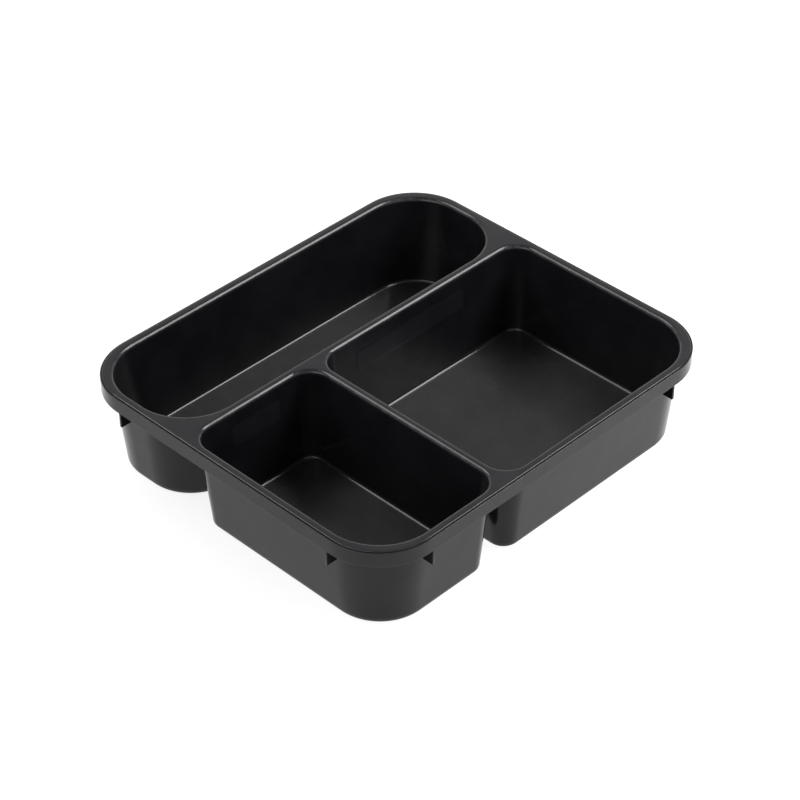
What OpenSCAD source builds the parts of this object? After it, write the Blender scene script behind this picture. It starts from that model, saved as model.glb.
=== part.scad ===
// Three-compartment insert tray, moulded in one piece of black plastic.
// The origin is under the middle of the tray, on the surface that it stands on.
// +X runs along the long bin, +Y points from the two front bins to the long bin.

/* [Overall size] */
// Width of the rim along X
overall_w = 370; // [340:1:400]
// Depth of the rim along Y
overall_d = 329; // [310:1:350]
// Height of the tray
overall_h = 81.5; // [70:0.5:95]
// Plan radius of the rim's outer corners
corner_r = 50; // [46:1:56]

/* [Rim] */
// Thickness of the flat deck between and around the bins
deck_t = 2.3; // [2:0.1:3]
// How far the deck's edge stands back from the skirt's face
edge_inset = 1.5; // [1:0.1:1.8]
// Height of the step from the skirt's top up to the deck
edge_step = 1; // [0.6:0.1:1.4]
// Height of the rim from the deck's top to the skirt's lower edge
rim_h = 13.5; // [9:0.5:15]
// Thickness of the skirt
skirt_t = 2.2; // [2:0.1:2.6]

/* [Bins] */
// Distance from the skirt's face to a bin's opening
rim_margin = 8.5; // [7:0.5:11]
// Distance between the openings of two neighbouring bins
bin_spacing = 7.5; // [7:0.5:10]
// Depth of the long bin's opening along Y
long_opening_d = 108; // [100:1:120]
// Width of the small bin's opening along X
small_opening_w = 122; // [116:1:150]
// Radius of the wide corners, at the opening
wide_r = 46; // [40:1:49]
// Radius of the tight corners, at the opening
tight_r = 19; // [16:1:24]
// Draft angle of the walls
draft = 5.5; // [3:0.5:6.5]
// Thickness of the walls
wall_t = 2.3; // [2:0.1:2.6]
// Thickness of the floors
floor_t = 2.5; // [2:0.1:3.5]

/* [Stacking ribs] */
// Thickness of a rib
rib_t = 2.2; // [1.6:0.1:3]
// How far a rib reaches below the skirt
rib_drop = 12.5; // [6:0.5:14]
// Distance from a rib to the nearest side that it doesn't stand on
rib_inset = 53.5; // [50:0.5:60]

/* [Label pads] */
// Width of the pad in the large bin
large_pad_w = 120; // [80:1:125]
// Width of the pad in the small bin
small_pad_w = 48; // [40:1:52]
// Height of the pads
pad_h = 18; // [12:1:26]
// Distance from the deck down to the pads
pad_drop = 14; // [8:1:20]
// Distance from a bin's left end to its pad
pad_side = 39.5; // [30:0.5:40]
// How far the pads stand proud of the wall
pad_t = 0.5; // [0.4:0.1:0.8]

/* [Hidden] */
RIB_COUNT = 8;
RIBS = [for (i = [1 : RIB_COUNT]) str("stacking_rib_", i)];
$fn = 96;

half_w = overall_w / 2;
half_d = overall_d / 2;
slope = tan(draft);
under_deck = overall_h - deck_t;
skirt_bottom = overall_h - rim_h;
// Cutters run past the faces that they cut by this much
past = 1;

// Openings at the deck's top, each [x0, x1, y0, y1]
left = -half_w + rim_margin;
right = half_w - rim_margin;
front = -half_d + rim_margin;
back = half_d - rim_margin;
long_y0 = back - long_opening_d;
front_bins_y1 = long_y0 - bin_spacing;
small_x1 = left + small_opening_w;
large_x0 = small_x1 + bin_spacing;
long_opening = [left, right, long_y0, back];
large_opening = [large_x0, right, front, front_bins_y1];
small_opening = [left, small_x1, front, front_bins_y1];

// Corner radii in the order front left, front right, back right, back left
long_radii = [wide_r, wide_r, wide_r, wide_r];
large_radii = [tight_r, wide_r, tight_r, tight_r];
small_radii = [wide_r, tight_r, tight_r, tight_r];

function grown(rect, by) = [rect[0] - by, rect[1] + by, rect[2] - by, rect[3] + by];
function grown_radii(radii, by) = [for (r = radii) r + by];
function inset_at(z) = (overall_h - z) * slope;

// A rectangular plate with round corners, centred on the origin
module round_plate(w, d, r, h) {
    linear_extrude(height = h)
    union() {
        square([w - 2 * r, d], center = true);
        square([w, d - 2 * r], center = true);
        for (sx = [-1, 1]) {
            for (sy = [-1, 1]) {
                translate([sx * (w / 2 - r), sy * (d / 2 - r)]) circle(r = r);
            }
        }
    }
}

// A block with sharp corners whose sides lean in by in0 at z0 and by in1 at z1
module sharp_block(rect, z0, z1, in0, in1) {
    span_x = rect[1] - rect[0];
    span_y = rect[3] - rect[2];
    intersection() {
        translate([0, rect[3] + past, 0])
        rotate([90, 0, 0])
        linear_extrude(height = span_y + 2 * past)
        polygon([
            [rect[0] + in0, z0],
            [rect[1] - in0, z0],
            [rect[1] - in1, z1],
            [rect[0] + in1, z1]
        ]);
        translate([rect[0] - past, 0, 0])
        rotate([90, 0, 90])
        linear_extrude(height = span_x + 2 * past)
        polygon([
            [rect[2] + in0, z0],
            [rect[3] - in0, z0],
            [rect[3] - in1, z1],
            [rect[2] + in1, z1]
        ]);
    }
}

// The same block with conical corners; each corner's axis is upright
module leaning_block(rect, radii, z0, z1, in0, in1) {
    signs = [[-1, -1], [1, -1], [1, 1], [-1, 1]];
    axes = [
        [rect[0] + radii[0], rect[2] + radii[0]],
        [rect[1] - radii[1], rect[2] + radii[1]],
        [rect[1] - radii[2], rect[3] - radii[2]],
        [rect[0] + radii[3], rect[3] - radii[3]]
    ];
    union() {
        difference() {
            sharp_block(rect, z0, z1, in0, in1);
            for (i = [0 : 3]) {
                size = radii[i] + past;
                translate([
                    axes[i][0] + min(0, signs[i][0] * size),
                    axes[i][1] + min(0, signs[i][1] * size),
                    z0 - past
                ])
                cube([size, size, z1 - z0 + 2 * past]);
            }
        }
        for (i = [0 : 3]) {
            translate([axes[i][0], axes[i][1], z0])
            cylinder(h = z1 - z0, r1 = radii[i] - in0, r2 = radii[i] - in1);
        }
    }
}

// The hollow of a bin, from the floor out through the top
module hollow(opening, radii) {
    z1 = overall_h + past;
    leaning_block(opening, radii, floor_t, z1, inset_at(floor_t), inset_at(z1));
}

module bin_walls(opening, radii) {
    difference() {
        leaning_block(
            grown(opening, wall_t), grown_radii(radii, wall_t),
            floor_t, under_deck, inset_at(floor_t), inset_at(under_deck)
        );
        hollow(opening, radii);
    }
}

// The floor has a 45 degree bevel round its lower edge
module bin_floor(opening, radii) {
    leaning_block(
        grown(opening, wall_t), grown_radii(radii, wall_t),
        0, floor_t, inset_at(floor_t) + floor_t, inset_at(floor_t)
    );
}

module rim_deck() {
    color([0.16, 0.16, 0.17])
    difference() {
        translate([0, 0, under_deck])
        round_plate(
            overall_w - 2 * edge_inset, overall_d - 2 * edge_inset, corner_r - edge_inset, deck_t
        );
        hollow(long_opening, long_radii);
        hollow(large_opening, large_radii);
        hollow(small_opening, small_radii);
    }
}

// The skirt hangs from the deck's edge and leaves a fine step round the top
module rim_skirt() {
    step_z = overall_h - edge_step;
    color([0.2, 0.2, 0.21])
    difference() {
        translate([0, 0, skirt_bottom])
        round_plate(overall_w, overall_d, corner_r, step_z - skirt_bottom);
        translate([0, 0, skirt_bottom - past])
        round_plate(
            overall_w - 2 * skirt_t, overall_d - 2 * skirt_t, corner_r - skirt_t,
            under_deck - skirt_bottom + past
        );
        translate([0, 0, under_deck])
        round_plate(
            overall_w - 2 * edge_inset, overall_d - 2 * edge_inset, corner_r - edge_inset,
            deck_t + past
        );
    }
}

module long_bin_walls() {
    color([0.17, 0.17, 0.18]) bin_walls(long_opening, long_radii);
}

module long_bin_floor() {
    color([0.13, 0.13, 0.14]) bin_floor(long_opening, long_radii);
}

module large_bin_walls() {
    color([0.17, 0.17, 0.18]) bin_walls(large_opening, large_radii);
}

module large_bin_floor() {
    color([0.13, 0.13, 0.14]) bin_floor(large_opening, large_radii);
}

module small_bin_walls() {
    color([0.17, 0.17, 0.18]) bin_walls(small_opening, small_radii);
}

module small_bin_floor() {
    color([0.13, 0.13, 0.14]) bin_floor(small_opening, small_radii);
}

// A thin raised field on the back wall of a front bin, leaning as the wall does
module label_pad(bin_left, w) {
    top = pad_drop * slope;
    bottom = (pad_drop + pad_h) * slope;
    color([0.19, 0.19, 0.2])
    translate([bin_left + pad_side, 0, 0])
    rotate([90, 0, 90])
    linear_extrude(height = w)
    polygon([
        [front_bins_y1 - top, overall_h - pad_drop],
        [front_bins_y1 - top - pad_t, overall_h - pad_drop],
        [front_bins_y1 - bottom - pad_t, overall_h - pad_drop - pad_h],
        [front_bins_y1 - bottom, overall_h - pad_drop - pad_h]
    ]);
}

module large_bin_label_pad() {
    label_pad(large_x0, large_pad_w);
}

module small_bin_label_pad() {
    label_pad(left, small_pad_w);
}

// A rib fills the gap between a bin's wall and the skirt, and reaches below the skirt.
// It is drawn for a side whose outward normal is +X, at a distance half from the middle.
module rib(half) {
    bottom = skirt_bottom - rib_drop;
    wall_top = half - rim_margin + wall_t - inset_at(under_deck);
    wall_bottom = half - rim_margin + wall_t - inset_at(bottom);
    color([0.15, 0.15, 0.16])
    translate([0, rib_t / 2, 0])
    rotate([90, 0, 0])
    linear_extrude(height = rib_t)
    polygon([
        [wall_top, under_deck],
        [wall_bottom, bottom],
        [half, bottom],
        [half, skirt_bottom],
        [half - skirt_t, skirt_bottom],
        [half - skirt_t, under_deck]
    ]);
}

// The first half of the ribs stands on the left and right sides, the rest on the front and back
module stacking_rib(i) {
    on_side = i <= RIB_COUNT / 2;
    s = (i % 2 == 0) ? 1 : -1;
    t = (i % 4 == 1 || i % 4 == 2) ? -1 : 1;
    if (on_side) {
        translate([0, t * (half_d - rib_inset), 0])
        rotate([0, 0, (s > 0) ? 0 : 180])
        rib(half_w);
    } else {
        translate([t * (half_w - rib_inset), 0, 0])
        rotate([0, 0, 90 * s])
        rib(half_d);
    }
}

rim_deck();
rim_skirt();
long_bin_walls();
long_bin_floor();
large_bin_walls();
large_bin_floor();
small_bin_walls();
small_bin_floor();
large_bin_label_pad();
small_bin_label_pad();
for (i = [1 : RIB_COUNT]) {
    stacking_rib(i);
}
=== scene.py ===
"""Looks of the three-compartment insert tray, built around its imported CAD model.

The tray is one moulding of black polypropylene. Each CAD solid is replaced by a finer closed
mesh with the same outline: lips, edges and floors get their fillets, and the ribs and label
pads their soft edges. Lengths are in metres, and an outline is [x0, x1, y0, y1].
"""

import math

import bmesh
import bpy
from mathutils import Matrix, Vector


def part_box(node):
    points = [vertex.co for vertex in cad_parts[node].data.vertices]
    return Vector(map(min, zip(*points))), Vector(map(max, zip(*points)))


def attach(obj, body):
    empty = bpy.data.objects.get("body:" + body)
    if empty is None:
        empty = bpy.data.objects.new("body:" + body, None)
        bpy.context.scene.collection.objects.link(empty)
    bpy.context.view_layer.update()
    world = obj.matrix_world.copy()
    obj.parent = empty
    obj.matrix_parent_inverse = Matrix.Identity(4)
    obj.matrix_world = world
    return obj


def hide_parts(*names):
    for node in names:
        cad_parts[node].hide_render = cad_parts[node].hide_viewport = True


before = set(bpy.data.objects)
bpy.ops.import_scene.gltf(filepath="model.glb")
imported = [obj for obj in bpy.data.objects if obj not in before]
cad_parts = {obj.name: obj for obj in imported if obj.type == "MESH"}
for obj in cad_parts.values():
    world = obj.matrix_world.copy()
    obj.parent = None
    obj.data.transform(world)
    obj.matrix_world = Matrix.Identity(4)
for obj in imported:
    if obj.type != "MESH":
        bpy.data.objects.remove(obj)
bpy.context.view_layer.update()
MM = 0.001

# ---------------------------------------------------------------- sizes, as in the CAD model
WALL_T = 2.3 * MM
SKIRT_T = 2.2 * MM
EDGE_STEP = 1.0 * MM
DRAFT = math.radians(5.5)
CORNER_R = 50 * MM
WIDE_R = 46 * MM
TIGHT_R = 19 * MM

deck_low, deck_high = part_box("rim_deck")
skirt_low, skirt_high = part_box("rim_skirt")
TOP = deck_high.z
UNDER_DECK = deck_low.z
SKIRT_BOTTOM = skirt_low.z
HALF_W = skirt_high.x
HALF_D = skirt_high.y
EDGE_INSET = skirt_high.x - deck_high.x
FLOOR_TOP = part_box("long_bin_floor")[1].z

# Corner radii in the order front left, front right, back right, back left
BIN_RADII = {
    "long": [WIDE_R, WIDE_R, WIDE_R, WIDE_R],
    "large": [TIGHT_R, WIDE_R, TIGHT_R, TIGHT_R],
    "small": [WIDE_R, TIGHT_R, TIGHT_R, TIGHT_R],
}

# ---------------------------------------------------------------- details that only show
CROWN_R = 8 * MM  # the deck falls gently towards a lip or an edge
CROWN_TILT = math.radians(10)
LIP_R = 3.0 * MM
DECK_EDGE_R = 0.6 * MM
GROOVE = 0.5 * MM  # width and depth of the groove round the deck
SKIRT_TOP_R = 0.25 * MM
SKIRT_EDGE_R = 0.5 * MM
FLOOR_FILLET_R = 2.6 * MM
BASE_FILLET_R = 4.0 * MM
ROOT_R = 1.0 * MM
COLLAR_H = 1.2 * MM  # the deck's mesh reaches this far down the walls
FLOOR_RISE = 2.6 * MM  # the floor's mesh reaches this far up the walls' outside
FLAT_MARGIN = 0.5 * MM  # keeps a flat face's shading clear of the fillet beside it
PAD_RELIEF = 0.1 * MM  # a label pad's height above its wall
PAD_BLEND = 1.2 * MM  # width of the slope round a label pad
PAD_CORNER_R = 2.5 * MM
PAD_ROOT = WALL_T / 4  # a label pad reaches this far into its wall
RIB_EDGE_R = 0.35 * MM
RIB_EDGE_STEPS = 3
SIDE_STEPS = 16
CORNER_STEPS = 28
FILLET_STEPS = 8
SHARP_ANGLE = math.radians(35)  # edges that bend more than this shade as sharp
FILLET_RUN = (1 - math.sin(DRAFT)) / math.cos(DRAFT)  # wall to arc centre, per unit of radius


def inset_at(z):
    """How far a drafted wall has come in at height z."""
    return (TOP - z) * math.tan(DRAFT)


def opening_of(bin_name):
    """A bin's opening at the deck's top, worked out from its walls' CAD box."""
    low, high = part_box(bin_name + "_bin_walls")
    out = WALL_T - inset_at(UNDER_DECK)
    return [low.x + out, high.x - out, low.y + out, high.y - out]


OPENINGS = {name: opening_of(name) for name in BIN_RADII}

# ---------------------------------------------------------------- mesh helpers


def outline_points(rect, radii, inset):
    """Points round a rectangle with round corners, moved in by inset about fixed corner axes."""
    x0, x1, y0, y1 = rect
    corners = [
        (x0 + radii[0], y0 + radii[0], radii[0], 180),
        (x1 - radii[1], y0 + radii[1], radii[1], 270),
        (x1 - radii[2], y1 - radii[2], radii[2], 0),
        (x0 + radii[3], y1 - radii[3], radii[3], 90),
    ]
    arcs = []
    for cx, cy, radius, start in corners:
        arc = []
        for step in range(CORNER_STEPS + 1):
            angle = math.radians(start + 90 * step / CORNER_STEPS)
            reach = radius - inset
            arc.append((cx + reach * math.cos(angle), cy + reach * math.sin(angle)))
        arcs.append(arc)
    points = []
    for arc, following in zip(arcs, arcs[1:] + arcs[:1]):
        points += arc
        (ax, ay), (bx, by) = arc[-1], following[0]
        for step in range(1, SIDE_STEPS):
            share = step / SIDE_STEPS
            points.append((ax + (bx - ax) * share, ay + (by - ay) * share))
    return points


def arc_section(centre, radius, start, end, wear=0.0):
    """Section points (inset, z, wear) along an arc, angles in degrees; wear is at mid-arc."""
    section = []
    for step in range(FILLET_STEPS + 1):
        share = step / FILLET_STEPS
        angle = math.radians(start + (end - start) * share)
        section.append(
            (
                centre[0] + radius * math.cos(angle),
                centre[1] + radius * math.sin(angle),
                wear * math.sin(math.pi * share),
            )
        )
    return section


def loft(bm, rect, radii, section, closed=False):
    """Skins the section round the outline and returns its first and last ring."""
    worn = bm.verts.layers.float["wear"]
    rings = []
    for inset, z, *wear in section:
        ring = [bm.verts.new((x, y, z)) for x, y in outline_points(rect, radii, inset)]
        for vert in ring:
            vert[worn] = wear[0] if wear else 0.0
        rings.append(ring)
    pairs = list(zip(rings, rings[1:]))
    if closed:
        pairs.append((rings[-1], rings[0]))
    for lower, upper in pairs:
        for i in range(len(lower)):
            j = (i + 1) % len(lower)
            bm.faces.new((lower[i], lower[j], upper[j], upper[i]))
    return rings[0], rings[-1]


def fill_between(bm, rings):
    """Fills the flat area between an outer ring and the rings inside it."""
    edges = []
    for ring in rings:
        for i, vert in enumerate(ring):
            edges.append(bm.edges.get((vert, ring[(i + 1) % len(ring)])))
    bmesh.ops.triangle_fill(bm, use_beauty=True, edges=edges, normal=(0, 0, 1))


def new_mesh():
    """An empty mesh whose points carry the wear that the materials read."""
    bm = bmesh.new()
    bm.verts.layers.float.new("wear")
    return bm


def finish_piece(node, bm, materials):
    """Turns a closed mesh into the piece that stands for a CAD node, its faces outward."""
    bmesh.ops.recalc_face_normals(bm, faces=bm.faces)
    if bm.calc_volume(signed=True) < 0:
        bmesh.ops.reverse_faces(bm, faces=bm.faces)
    for face in bm.faces:
        face.smooth = True
    for edge in bm.edges:
        edge.smooth = edge.is_manifold and edge.calc_face_angle(0.0) < SHARP_ANGLE
    mesh = bpy.data.meshes.new(node + "_moulded")
    bm.to_mesh(mesh)
    bm.free()
    for material in materials:
        mesh.materials.append(material)
    piece = bpy.data.objects.new(node + "_moulded", mesh)
    bpy.context.scene.collection.objects.link(piece)
    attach(piece, "root")
    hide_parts(node)
    return piece


# ---------------------------------------------------------------- materials

CLOUD_SIZE = 35 * MM  # patches of slightly different black
SCUFF_SIZE = 6 * MM
DUST_SIZE = 0.9 * MM
GLOSS_SIZE = 20 * MM  # patches of slightly different gloss
WORN_COLOUR = (0.035, 0.035, 0.037)
DUST_COLOUR = (0.025, 0.025, 0.026)
POLISH = 0.17  # how much less rough a polished edge is


def plastic(name, dark, light, rough, grain, wave, ior=1.32, flecks=0.0):
    """Black polypropylene. rough is its (lowest, highest) roughness, grain the (size, depth)
    of its surface texture, wave that of its slow unevenness, and flecks the share of pale dust.
    The wear attribute goes from -1, polished, to 1, scuffed."""
    material = bpy.data.materials.new(name)
    material.use_nodes = True
    nodes, links = material.node_tree.nodes, material.node_tree.links
    shader = nodes["Principled BSDF"]
    shader.inputs["IOR"].default_value = ior
    place = nodes.new("ShaderNodeTexCoord").outputs["Object"]

    def noise(size, detail):
        texture = nodes.new("ShaderNodeTexNoise")
        texture.inputs["Scale"].default_value = 1 / size
        texture.inputs["Detail"].default_value = detail
        links.new(place, texture.inputs["Vector"])
        return texture.outputs["Fac"]

    def spread(value, low, high, out_low, out_high):
        scale = nodes.new("ShaderNodeMapRange")
        for socket, number in zip(scale.inputs[1:5], (low, high, out_low, out_high)):
            socket.default_value = number
        links.new(value, scale.inputs["Value"])
        return scale.outputs["Result"]

    def mix(share, first, second):
        blend = nodes.new("ShaderNodeMix")
        blend.data_type = "RGBA"
        links.new(share, blend.inputs["Factor"])
        for key, colour in (("A", first), ("B", second)):
            socket = [s for s in blend.inputs if s.name == key and s.type == "RGBA"][0]
            if isinstance(colour, tuple):
                socket.default_value = (*colour, 1)
            else:
                links.new(colour, socket)
        return [s for s in blend.outputs if s.type == "RGBA"][0]

    def combine(operation, first, second):
        both = nodes.new("ShaderNodeMath")
        both.operation = operation
        links.new(first, both.inputs[0])
        links.new(second, both.inputs[1])
        return both.outputs["Value"]

    def bump(height, depth, normal=None):
        relief = nodes.new("ShaderNodeBump")
        relief.inputs["Distance"].default_value = depth
        links.new(height, relief.inputs["Height"])
        if normal:
            links.new(normal, relief.inputs["Normal"])
        return relief.outputs["Normal"]

    colour = mix(spread(noise(CLOUD_SIZE, 2), 0.35, 0.65, 0, 1), dark, light)
    worn = nodes.new("ShaderNodeAttribute")
    worn.attribute_name = "wear"
    scuffs = spread(noise(SCUFF_SIZE, 5), 0.45, 0.7, 0, 0.6)
    colour = mix(combine("MULTIPLY", worn.outputs["Fac"], scuffs), colour, WORN_COLOUR)
    if flecks:
        dust = spread(noise(DUST_SIZE, 3), 0.66 - flecks, 0.74, 0, 1)
        colour = mix(dust, colour, DUST_COLOUR)
    links.new(colour, shader.inputs["Base Color"])
    unevenness = spread(noise(GLOSS_SIZE, 2), 0.3, 0.7, *rough)
    polish = spread(worn.outputs["Fac"], -1, 0, -POLISH, 0)
    links.new(combine("ADD", unevenness, polish), shader.inputs["Roughness"])
    relief = bump(noise(wave[0], 2), wave[1])
    relief = bump(noise(grain[0], 6), grain[1], relief)
    links.new(relief, shader.inputs["Normal"])
    return material


rim_plastic = plastic(
    "rim_plastic", (0.006, 0.006, 0.007), (0.009, 0.009, 0.01), (0.13, 0.2),
    (0.0009, 0.00001), (0.03, 0.0002),
)
# Painted shade: the same black plastic as the rim's, with a darker base colour so the walls come
# out as dark as the shade inside the bins
wall_plastic = plastic(
    "wall_plastic", (0.003, 0.003, 0.0036), (0.0045, 0.0045, 0.0053), (0.12, 0.2),
    (0.0012, 0.000008), (0.04, 0.0004), ior=1.3,
)
floor_plastic = plastic(
    "floor_plastic", (0.007, 0.007, 0.0078), (0.0095, 0.0095, 0.0104), (0.26, 0.32),
    (0.0013, 0.00006), (0.03, 0.0003), flecks=0.03,
)
# Painted shade: the ribs' sides get a darker, duller copy of the plastic, as dark as the shade
# under the skirt; the real ribs are the same plastic, not another
rib_painted_shade = plastic(
    "rib_painted_shade", (0.002, 0.002, 0.0024), (0.003, 0.003, 0.0036), (0.3, 0.4),
    (0.0009, 0.00002), (0.03, 0.0002), ior=1.12,
)
# Partly painted shade: like the walls, darker than the rim's plastic for the shade inside the
# bins; a little lighter than the walls round them
pad_plastic_painted_shade = plastic(
    "pad_plastic_painted_shade", (0.0045, 0.0045, 0.0053), (0.006, 0.006, 0.0071), (0.16, 0.24),
    (0.0008, 0.00001), (0.04, 0.0004), ior=1.3,
)

# ---------------------------------------------------------------- the deck and its lips


def crowned_edge(radius, lean):
    """From the flat deck down a gentle crown and round an edge, to a side that leans by lean.

    Returns section points with the deck's level at 0 and the side's top at inset 0.
    """
    tilt = 90 - math.degrees(CROWN_TILT)
    crown = arc_section((0, -CROWN_R), CROWN_R, 90, tilt)
    x, z = crown[-1][:2]
    reach, rise = radius * math.cos(math.radians(tilt)), radius * math.sin(math.radians(tilt))
    edge = arc_section((x - reach, z - rise), radius, tilt, math.degrees(lean), wear=1.0)
    x, z = edge[-1][:2]
    side = x + z * math.tan(lean)
    return [(side - px, pz, *worn) for px, pz, *worn in crown + edge[1:]]


def lip_section():
    """From the flat deck over the lip and down the wall, then up the wall's outside."""
    lip = [(-x, TOP + z, *worn) for x, z, *worn in crowned_edge(LIP_R, DRAFT)]
    seam = UNDER_DECK - COLLAR_H
    root_x = inset_at(UNDER_DECK - ROOT_R) - WALL_T
    root = arc_section((root_x - ROOT_R, UNDER_DECK - ROOT_R), ROOT_R, 0, 90)
    return (
        lip
        + [(inset_at(seam), seam), (inset_at(seam) - WALL_T, seam)]
        + root
        + [(root_x - ROOT_R - FLAT_MARGIN, UNDER_DECK)]
    )


def deck_edge_section():
    """From the flat deck over its outer edge and back under it."""
    edge = [(x, TOP + z, *worn) for x, z, *worn in crowned_edge(DECK_EDGE_R, 0)]
    return edge + [(0, UNDER_DECK), (FLAT_MARGIN, UNDER_DECK)]


def build_deck():
    """The deck with its three lips and the top of each bin's walls."""
    bm = new_mesh()
    rect = [deck_low.x, deck_high.x, deck_low.y, deck_high.y]
    top, under = loft(bm, rect, [CORNER_R - EDGE_INSET] * 4, deck_edge_section())
    tops, unders = [top], [under]
    for bin_name, opening in OPENINGS.items():
        top, under = loft(bm, opening, BIN_RADII[bin_name], lip_section())
        tops.append(top)
        unders.append(under)
    fill_between(bm, tops)
    fill_between(bm, unders)
    return finish_piece("rim_deck", bm, [rim_plastic])


def build_skirt():
    """The skirt, with the ledge round the deck, both lower edges rounded."""
    bm = new_mesh()
    ledge = TOP - EDGE_STEP
    r = SKIRT_EDGE_R
    section = (
        [(EDGE_INSET, ledge - GROOVE), (EDGE_INSET - GROOVE, ledge - GROOVE)]
        + [(EDGE_INSET - GROOVE, ledge)]
        + arc_section((SKIRT_TOP_R, ledge - SKIRT_TOP_R), SKIRT_TOP_R, 90, 180, wear=0.8)
        + [(0, ledge - SKIRT_TOP_R - FLAT_MARGIN), (0, SKIRT_BOTTOM + r + FLAT_MARGIN)]
        + arc_section((r, SKIRT_BOTTOM + r), r, 180, 270, wear=0.6)
        + arc_section((SKIRT_T - r, SKIRT_BOTTOM + r), r, 270, 360)
        + [(SKIRT_T, UNDER_DECK), (EDGE_INSET, UNDER_DECK)]
    )
    loft(bm, [-HALF_W, HALF_W, -HALF_D, HALF_D], [CORNER_R] * 4, section, closed=True)
    return finish_piece("rim_skirt", bm, [rim_plastic])


# ---------------------------------------------------------------- the bins


def floor_fillet():
    """The fillet between wall and floor, from the wall down to the flat floor."""
    centre = (inset_at(FLOOR_TOP) + FLOOR_FILLET_R * FILLET_RUN, FLOOR_TOP + FLOOR_FILLET_R)
    return arc_section(centre, FLOOR_FILLET_R, 180 + math.degrees(DRAFT), 270, wear=-1.0)


def build_walls(bin_name):
    """The walls, from the deck's collar down to the floor's fillet."""
    bm = new_mesh()
    seam_top = UNDER_DECK - COLLAR_H
    seam_low = FLOOR_TOP + FLOOR_RISE
    section = [
        (inset_at(seam_top), seam_top),
        floor_fillet()[0],
        (inset_at(seam_low) - WALL_T, seam_low),
        (inset_at(seam_top) - WALL_T, seam_top),
    ]
    loft(bm, OPENINGS[bin_name], BIN_RADII[bin_name], section, closed=True)
    return finish_piece(bin_name + "_bin_walls", bm, [wall_plastic])


def build_floor(bin_name):
    """The floor, with the fillet that carries it up into the walls and its rounded edge below."""
    bm = new_mesh()
    seam = FLOOR_TOP + FLOOR_RISE
    outer = (inset_at(0) - WALL_T + BASE_FILLET_R * FILLET_RUN, BASE_FILLET_R)
    inner = floor_fillet()
    section = (
        [(inner[-1][0] + FLAT_MARGIN, FLOOR_TOP)]
        + inner[::-1]
        + [(inset_at(seam) - WALL_T, seam)]
        + arc_section(outer, BASE_FILLET_R, 180 + math.degrees(DRAFT), 270, wear=0.5)
        + [(outer[0] + FLAT_MARGIN, 0)]
    )
    top, base = loft(bm, OPENINGS[bin_name], BIN_RADII[bin_name], section)
    bm.faces.new(top)
    bm.faces.new(base)
    return finish_piece(bin_name + "_bin_floor", bm, [floor_plastic])


def build_label_pad(bin_name):
    """A thin raised field with soft edges on a front bin's back wall."""
    node = bin_name + "_bin_label_pad"
    low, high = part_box(node)
    bm = new_mesh()
    down = 1 / math.cos(DRAFT)
    rect = [low.x, high.x, (TOP - high.z) * down, (TOP - low.z) * down]
    section = [
        (0, -PAD_ROOT),
        (0, 0),
        (PAD_BLEND, PAD_RELIEF),
        (PAD_BLEND + FLAT_MARGIN, PAD_RELIEF),
    ]
    base, top = loft(bm, rect, [PAD_CORNER_R] * 4, section)
    bm.faces.new(base)
    bm.faces.new(top)
    along_wall = Vector((0, -math.sin(DRAFT), -math.cos(DRAFT)))
    off_wall = Vector((0, -math.cos(DRAFT), math.sin(DRAFT)))
    columns = Matrix((Vector((1, 0, 0)), along_wall, off_wall)).transposed().to_4x4()
    bm.transform(Matrix.Translation((0, OPENINGS[bin_name][3], TOP)) @ columns)
    return finish_piece(node, bm, [pad_plastic_painted_shade])


# ---------------------------------------------------------------- the stacking ribs


def build_rib(node):
    """A rib between wall and skirt, drawn for the +X side and turned to its own side."""
    low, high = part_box(node)
    centre = (low + high) / 2
    on_side = abs(centre.x) / HALF_W > abs(centre.y) / HALF_D
    half = HALF_W if on_side else HALF_D
    along = centre.y if on_side else centre.x
    outward = centre.x if on_side else centre.y
    thickness = (high - low).y if on_side else (high - low).x
    reach = OPENINGS["long"][1] if on_side else OPENINGS["long"][3]
    profile = [
        (reach - inset_at(UNDER_DECK) + WALL_T, UNDER_DECK),
        (reach - inset_at(low.z) + WALL_T, low.z),
        (half, low.z),
        (half, SKIRT_BOTTOM + SKIRT_EDGE_R),
        (half - SKIRT_T, SKIRT_BOTTOM + SKIRT_EDGE_R),
        (half - SKIRT_T, UNDER_DECK),
    ]
    bm = new_mesh()
    sides = []
    for y in (-thickness / 2, thickness / 2):
        sides.append([bm.verts.new((x, y, z)) for x, z in profile])
        bm.faces.new(sides[-1])
    for i in range(len(profile)):
        j = (i + 1) % len(profile)
        bm.faces.new((sides[0][i], sides[0][j], sides[1][j], sides[1][i]))
    soft = [e for e in bm.edges if max(v.co.x for v in e.verts) > half - MM / 10]
    bmesh.ops.bevel(
        bm, geom=soft, offset=RIB_EDGE_R, segments=RIB_EDGE_STEPS, profile=0.5, affect="EDGES"
    )
    bm.normal_update()
    for face in bm.faces:
        # The rib's flat sides take the painted shade material; its other faces take the rim's
        # plastic
        face.material_index = int(abs(face.normal.y) > 0.5)
    turn = 0 if on_side else 90
    if outward < 0:
        turn += 180
    spot = Vector((0, along, 0)) if on_side else Vector((along, 0, 0))
    bm.transform(Matrix.Translation(spot) @ Matrix.Rotation(math.radians(turn), 4, "Z"))
    return finish_piece(node, bm, [rim_plastic, rib_painted_shade])


build_deck()
build_skirt()
for bin_name in OPENINGS:
    build_walls(bin_name)
    build_floor(bin_name)
for bin_name in ("large", "small"):
    build_label_pad(bin_name)
for name in sorted(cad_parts):
    if name.startswith("stacking_rib_"):
        build_rib(name)

# ---------------------------------------------------------------- studio

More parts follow.
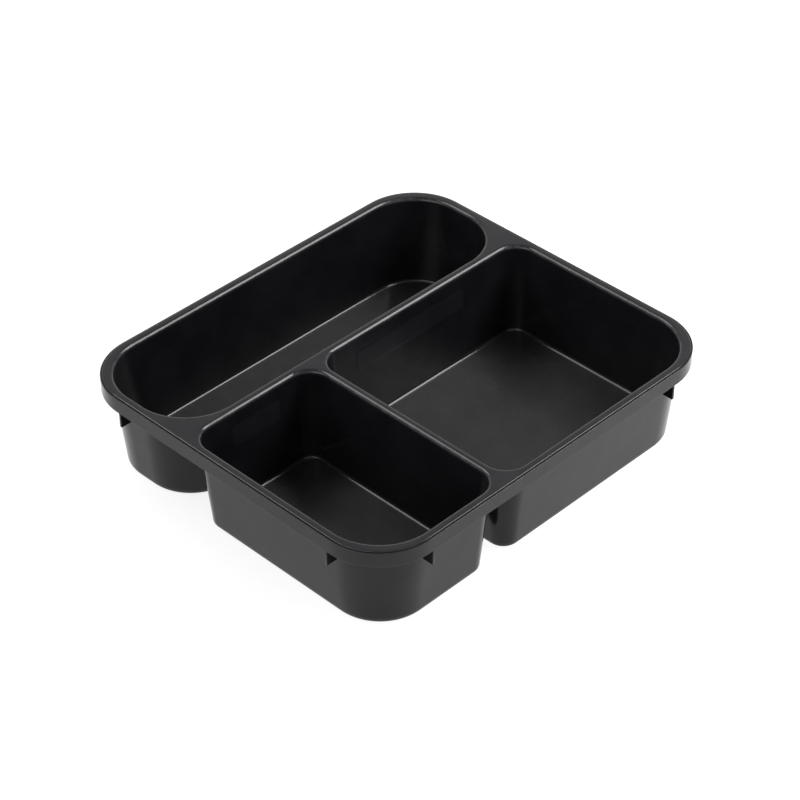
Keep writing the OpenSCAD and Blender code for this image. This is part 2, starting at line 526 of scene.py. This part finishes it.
TABLE_R = 5
TABLE_DROP = 0.3 * MM  # keeps the table clear of the tray's undersides
TABLE_COLOUR = (0.15, 0.15, 0.15, 1)
TOWARDS_RIGHT = (0.71, -0.71, 0)
TABLE_GLOW_AND_PAINTED_POOL = (-0.1, 0.3, 0.81, 1.08)  # (from, to) along that direction, then (low, high) glow; its rise towards the right softbox is a painted pool of light
LIGHT_DISTANCE = 1.3
# The surroundings are white at the horizon and dim overhead, as in front of a bright backdrop
SKY = [(0.0, 1.7), (0.3, 1.25), (0.62, 0.84), (1.0, 0.4)]  # (sine of the elevation, brightness)


def build_stage():
    """A plain white light table, its glow painted brighter towards the right softbox as a pool of
    that softbox's light.
    """
    bm = bmesh.new()
    bmesh.ops.create_circle(bm, cap_ends=True, segments=96, radius=TABLE_R)
    mesh = bpy.data.meshes.new("floor")
    bm.to_mesh(mesh)
    bm.free()
    table = bpy.data.materials.new("light_table")
    table.use_nodes = True
    nodes, links = table.node_tree.nodes, table.node_tree.links
    shader = nodes["Principled BSDF"]
    shader.inputs["Base Color"].default_value = TABLE_COLOUR
    shader.inputs["Roughness"].default_value = 0.9
    shader.inputs["Emission Color"].default_value = (1, 1, 1, 1)
    place = nodes.new("ShaderNodeTexCoord")
    towards_right = nodes.new("ShaderNodeVectorMath")
    towards_right.operation = "DOT_PRODUCT"
    towards_right.inputs[1].default_value = TOWARDS_RIGHT
    # Painted pool of light: the table's glow rises towards the right softbox
    glow_and_painted_pool = nodes.new("ShaderNodeMapRange")
    for socket, number in zip(glow_and_painted_pool.inputs[1:5], TABLE_GLOW_AND_PAINTED_POOL):
        socket.default_value = number
    links.new(place.outputs["Object"], towards_right.inputs[0])
    links.new(towards_right.outputs["Value"], glow_and_painted_pool.inputs["Value"])
    links.new(glow_and_painted_pool.outputs["Result"], shader.inputs["Emission Strength"])
    mesh.materials.append(table)
    floor = bpy.data.objects.new("floor", mesh)
    floor.location.z = -TABLE_DROP
    bpy.context.scene.collection.objects.link(floor)


def add_softbox(name, direction, long_side, size, radiance):
    """A rectangular area light that faces the tray. size is (width, length)."""
    light = bpy.data.lights.new(name, "AREA")
    light.shape = "RECTANGLE"
    light.size, light.size_y = size
    light.energy = radiance * math.pi * size[0] * size[1]
    lamp = bpy.data.objects.new(name, light)
    toward = Vector(direction).normalized()
    across = Vector(long_side).cross(toward).normalized()
    turn = Matrix((across, toward.cross(across), toward)).transposed().to_4x4()
    lamp.matrix_world = Matrix.Translation(toward * LIGHT_DISTANCE) @ turn
    bpy.context.scene.collection.objects.link(lamp)


def build_sky():
    """The surroundings, whose brightness goes by height alone."""
    world = bpy.data.worlds.new("studio")
    world.use_nodes = True
    nodes, links = world.node_tree.nodes, world.node_tree.links
    height = nodes.new("ShaderNodeSeparateXYZ")
    links.new(nodes.new("ShaderNodeTexCoord").outputs["Generated"], height.inputs["Vector"])
    ramp = nodes.new("ShaderNodeValToRGB")
    stops = ramp.color_ramp.elements
    while len(stops) < len(SKY):
        stops.new(0.5)
    for stop, (position, brightness) in zip(stops, SKY):
        stop.position = position
        stop.color = (brightness, brightness, brightness, 1)
    links.new(height.outputs["Z"], ramp.inputs["Fac"])
    links.new(ramp.outputs["Color"], nodes["Background"].inputs["Color"])
    bpy.context.scene.world = world


build_stage()
add_softbox("right_softbox", (0.56, -0.41, 0.72), (0, -0.83, -0.55), (0.5, 1.05), 16)
add_softbox("left_fill", (-0.85, -0.1, 0.5), (0, 1, 0), (1, 1), 2.5)
add_softbox("left_softbox", (-0.20, 0.55, 0.81), (-0.83, 0, -0.2), (0.5, 0.9), 7)
build_sky()
bpy.context.scene.view_settings.view_transform = "Standard"

# ---------------------------------------------------------------- camera

VIEW_AZIMUTH = math.radians(45.3)
VIEW_ELEVATION = math.radians(38.2)
VIEW_ROLL = math.radians(-0.24)
VIEW_DISTANCE = 1.968
AIM = Vector((0.3 * MM, -1.4 * MM, 39.1 * MM))
FOCAL_LENGTH = 114.5  # in millimetres, as is the sensor's width
SENSOR_WIDTH = 36

side, front = math.sin(VIEW_AZIMUTH), math.cos(VIEW_AZIMUTH)
rise, level = math.sin(VIEW_ELEVATION), math.cos(VIEW_ELEVATION)
back = Vector((-side * level, -front * level, rise))
right = Vector((front, -side, 0))
up = back.cross(right)
turned_right = right * math.cos(VIEW_ROLL) + up * math.sin(VIEW_ROLL)
turned_up = up * math.cos(VIEW_ROLL) - right * math.sin(VIEW_ROLL)
lens = bpy.data.cameras.new("camera")
lens.lens = FOCAL_LENGTH
lens.sensor_width = SENSOR_WIDTH
camera = bpy.data.objects.new("camera", lens)
turn = Matrix((turned_right, turned_up, back)).transposed().to_4x4()
camera.matrix_world = Matrix.Translation(AIM + back * VIEW_DISTANCE) @ turn
bpy.context.scene.collection.objects.link(camera)
bpy.context.scene.camera = camera
